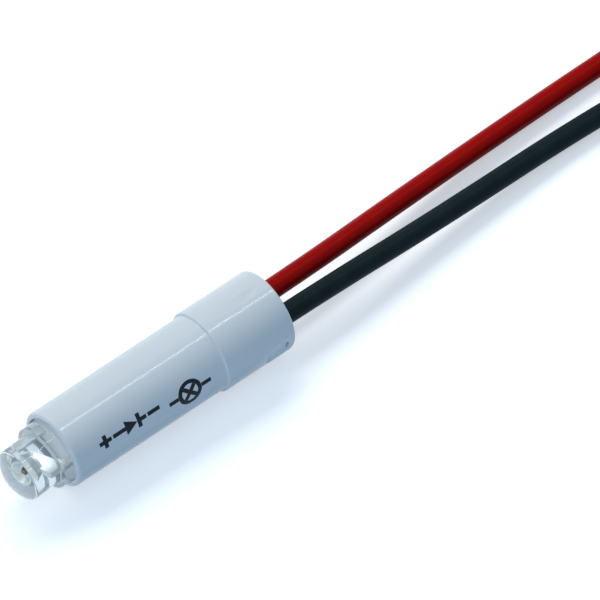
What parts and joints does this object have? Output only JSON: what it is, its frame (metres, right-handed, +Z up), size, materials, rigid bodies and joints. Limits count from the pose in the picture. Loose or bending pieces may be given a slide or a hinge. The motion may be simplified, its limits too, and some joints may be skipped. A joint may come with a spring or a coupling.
{
  "type": "led indicator lamp",
  "caption": "Panel indicator lamp: a clear LED set in a white cylindrical sleeve with a rear collar, on a red and a black lead with tinned ends.",
  "frame": {"origin": "on the sleeve's axis at the front face of its collar", "axes": "the LED points along -X and the leads leave along +X; +Z is up with the lamp lying on its side, and +Y is the red lead's side"},
  "size_m": [0.102, 0.0123, 0.0076],
  "materials": {
    "white_plastic": "glossy moulded",
    "clear_epoxy": "clear cast",
    "plated_frame": "silver plated",
    "die": "dark semiconductor",
    "gold_wire": "bright",
    "resistor_lacquer": "lacquered",
    "diode_moulding": "moulded epoxy",
    "tinned_copper": "tinned",
    "solder": "solder",
    "shrink_tube": "satin",
    "potting_compound": "satin cast",
    "red_pvc": "satin extruded",
    "black_pvc": "satin extruded"
  },
  "bodies": {
    "root": {"sleeve": "white_plastic", "led_lens": "clear_epoxy", "led_cathode_frame": "plated_frame", "led_anode_frame": "plated_frame", "led_die": "die", "led_bond_wire": "gold_wire", "resistor_body": "resistor_lacquer", "resistor_front_lead": "tinned_copper", "resistor_rear_lead": "tinned_copper", "diode_body": "diode_moulding", "diode_front_lead": "tinned_copper", "diode_rear_lead": "tinned_copper", "anode_joint": "solder", "cathode_joint": "solder", "red_joint": "solder", "black_joint": "solder", "anode_shrink": "shrink_tube", "cathode_shrink": "shrink_tube", "red_shrink": "shrink_tube", "black_shrink": "shrink_tube", "potting": "potting_compound", "red_lead": "red_pvc", "black_lead": "black_pvc", "red_core_inner": "tinned_copper", "black_core_inner": "tinned_copper", "red_core_end": "tinned_copper", "black_core_end": "tinned_copper"}
  },
  "joints": []
}
